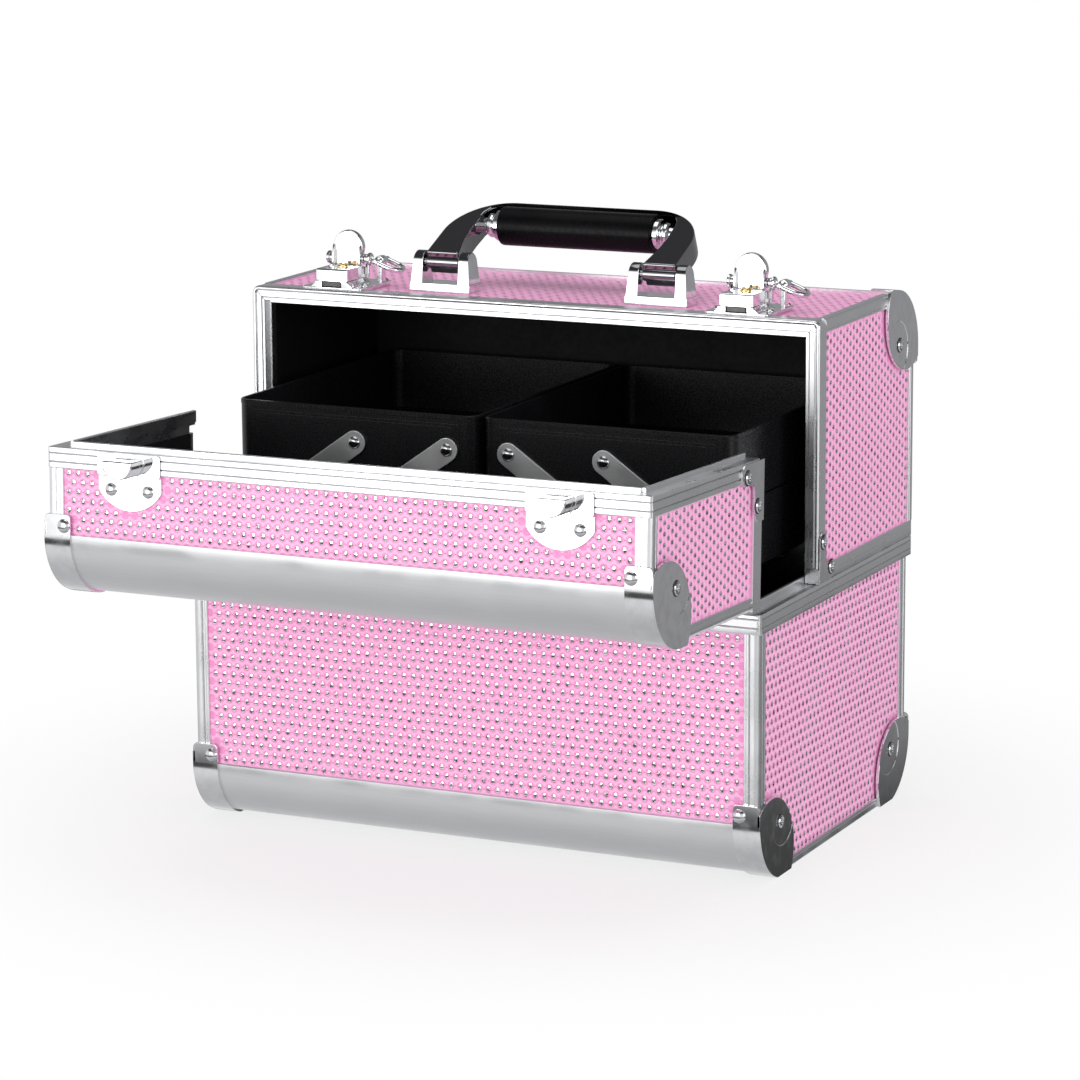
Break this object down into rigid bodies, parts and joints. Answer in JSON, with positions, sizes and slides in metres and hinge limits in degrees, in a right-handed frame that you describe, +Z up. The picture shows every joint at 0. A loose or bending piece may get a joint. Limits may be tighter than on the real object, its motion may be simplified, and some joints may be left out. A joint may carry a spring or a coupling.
{
  "type": "makeup storage case with handle",
  "caption": "Aluminium-framed train case with curved edges, stone-studded panels, a rear-hinged lid, a front flap, cantilever trays, key latches and a carrying handle.",
  "frame": {"origin": "centre of the closed case's footprint, on the surface it stands on", "axes": "+X to the viewer's right of the front, +Y to the rear, +Z up; the front flap is towards -Y"},
  "size_m": [0.3186, 0.3521, 0.306],
  "materials": {
    "stone_panel": "pink board set with rows of small faceted stones",
    "floor_board": "fine grain",
    "frame_profile": "satin anodised",
    "curved_profile": "satin, with fine lines along its length",
    "plated_fittings": "polished plating",
    "steel_parts": "bright zinc plated",
    "lining": "black embossed lining",
    "tray_plastic": "semi-matt moulded",
    "tray_arms": "satin",
    "grip": "semi-matt moulded",
    "lock": "polished"
  },
  "bodies": {
    "case": {"lower_face_panels": "stone_panel", "lower_side_panels": "stone_panel", "lower_floor": "floor_board", "lower_posts": "frame_profile", "lower_rim": "frame_profile", "lower_bottom_rails": "curved_profile", "lower_corner_castings": "plated_fittings", "lower_rivets": "steel_parts", "lower_lining": "lining", "tray_carriers": "steel_parts", "flap_hinge_leaves_fixed": "steel_parts", "lid_hinge_leaves_fixed": "steel_parts"},
    "lid": {"lid_hinge_leaves_moving": "steel_parts", "lid_face_panels": "stone_panel", "lid_side_panels": "stone_panel", "lid_front_frame": "frame_profile", "lid_frame_step": "frame_profile", "lid_bottom_rim": "frame_profile", "lid_edge_rails": "frame_profile", "lid_rear_crown": "curved_profile", "lid_corner_castings": "plated_fittings", "lid_corner_brackets": "steel_parts", "lid_rivets": "steel_parts", "lid_lining": "lining", "handle_brackets": "plated_fittings", "handle_rods": "plated_fittings", "latch_plates": "plated_fittings", "latch_blocks": "plated_fittings", "lock_cylinders": "lock", "strap_ring_eyes": "plated_fittings"},
    "flap": {"flap_hinge_leaves_moving": "steel_parts", "flap_face_panel": "stone_panel", "flap_front_panel": "stone_panel", "flap_side_panels": "stone_panel", "flap_side_frames": "frame_profile", "flap_rails": "frame_profile", "flap_tongues": "frame_profile", "flap_crown": "curved_profile", "flap_corner_castings": "plated_fittings", "flap_corner_brackets": "steel_parts", "flap_keepers": "plated_fittings", "flap_rivets": "steel_parts", "flap_lining": "lining"},
    "handle": {"handle_frame": "plated_fittings", "handle_grip": "grip", "handle_collars": "plated_fittings"},
    "latch_lever_left": {"latch_lever_left": "plated_fittings"},
    "latch_lever_right": {"latch_lever_right": "plated_fittings"},
    "latch_bolt_left": {"latch_bolt_left": "steel_parts"},
    "latch_bolt_right": {"latch_bolt_right": "steel_parts"},
    "strap_ring_left": {"strap_ring_left": "plated_fittings"},
    "strap_ring_right": {"strap_ring_right": "plated_fittings"},
    "left_upper_tray": {"left_upper_tray": "tray_plastic"},
    "left_lower_tray": {"left_lower_tray": "tray_plastic"},
    "right_upper_tray": {"right_upper_tray": "tray_plastic"},
    "right_lower_tray": {"right_lower_tray": "tray_plastic"},
    "left_inner_arms": {"left_inner_arms": "tray_arms"},
    "left_outer_arms": {"left_outer_arms": "tray_arms"},
    "right_inner_arms": {"right_inner_arms": "tray_arms"},
    "right_outer_arms": {"right_outer_arms": "tray_arms"}
  },
  "joints": [
    {"name": "flap_hinge", "type": "hinge", "parent": "case", "child": "flap", "pos_m": [0, -0.1057, 0.1367], "axis": [-1, 0, 0], "range_deg": [0, 88]},
    {"name": "lid_hinge", "type": "hinge", "parent": "case", "child": "lid", "pos_m": [0, 0.1056, 0.13565], "axis": [-1, 0, 0], "range_deg": [0, 95]},
    {"name": "handle_swing", "type": "hinge", "parent": "lid", "child": "handle", "pos_m": [0, -0.0007, 0.2795], "axis": [1, 0, 0], "range_deg": [0, 120]},
    {"name": "left_latch_lever", "type": "hinge", "parent": "lid", "child": "latch_lever_left", "pos_m": [-0.1115, -0.0067, 0.2796], "axis": [-1, 0, 0], "range_deg": [0, 85]},
    {"name": "left_latch_bolt", "type": "slide", "parent": "lid", "child": "latch_bolt_left", "axis": [0, -1, 0], "range_m": [0, 0.00905]},
    {"name": "left_strap_ring", "type": "hinge", "parent": "lid", "child": "strap_ring_left", "pos_m": [-0.097, 0, 0.278], "axis": [0, -1, 0], "range_deg": [0, 110]},
    {"name": "left_inner_arms", "type": "hinge", "parent": "case", "child": "left_inner_arms", "pos_m": [-0.08764, 0, 0.1505], "axis": [0, -1, 0], "range_deg": [0, 9]},
    {"name": "left_outer_arms", "type": "hinge", "parent": "case", "child": "left_outer_arms", "pos_m": [-0.13864, 0, 0.1505], "axis": [0, -1, 0], "range_deg": [0, 9]},
    {"name": "left_upper_tray", "type": "hinge", "parent": "left_inner_arms", "child": "left_upper_tray", "pos_m": [-0.0168, 0, 0.2001], "axis": [0, -1, 0], "range_deg": [-9, 0]},
    {"name": "left_lower_tray", "type": "hinge", "parent": "left_inner_arms", "child": "left_lower_tray", "pos_m": [-0.06678, 0, 0.1651], "axis": [0, -1, 0], "range_deg": [-9, 0]},
    {"name": "right_latch_lever", "type": "hinge", "parent": "lid", "child": "latch_lever_right", "pos_m": [0.1115, -0.0067, 0.2796], "axis": [-1, 0, 0], "range_deg": [0, 85]},
    {"name": "right_latch_bolt", "type": "slide", "parent": "lid", "child": "latch_bolt_right", "axis": [0, -1, 0], "range_m": [0, 0.00905]},
    {"name": "right_strap_ring", "type": "hinge", "parent": "lid", "child": "strap_ring_right", "pos_m": [0.126, 0, 0.278], "axis": [0, -1, 0], "range_deg": [0, 110]},
    {"name": "right_inner_arms", "type": "hinge", "parent": "case", "child": "right_inner_arms", "pos_m": [0.08764, 0, 0.1505], "axis": [0, 1, 0], "range_deg": [0, 9]},
    {"name": "right_outer_arms", "type": "hinge", "parent": "case", "child": "right_outer_arms", "pos_m": [0.13864, 0, 0.1505], "axis": [0, 1, 0], "range_deg": [0, 9]},
    {"name": "right_upper_tray", "type": "hinge", "parent": "right_inner_arms", "child": "right_upper_tray", "pos_m": [0.0168, 0, 0.2001], "axis": [0, 1, 0], "range_deg": [-9, 0]},
    {"name": "right_lower_tray", "type": "hinge", "parent": "right_inner_arms", "child": "right_lower_tray", "pos_m": [0.06678, 0, 0.1651], "axis": [0, 1, 0], "range_deg": [-9, 0]}
  ],
  "couplings": [
    {"joint": "left_latch_bolt", "follows": "left_latch_lever", "m_per_rad": 0.006067},
    {"joint": "left_outer_arms", "follows": "left_inner_arms", "ratio": 1},
    {"joint": "left_upper_tray", "follows": "left_inner_arms", "ratio": -1},
    {"joint": "left_lower_tray", "follows": "left_inner_arms", "ratio": -1},
    {"joint": "right_latch_bolt", "follows": "right_latch_lever", "m_per_rad": 0.006067},
    {"joint": "right_outer_arms", "follows": "right_inner_arms", "ratio": 1},
    {"joint": "right_upper_tray", "follows": "right_inner_arms", "ratio": -1},
    {"joint": "right_lower_tray", "follows": "right_inner_arms", "ratio": -1}
  ]
}
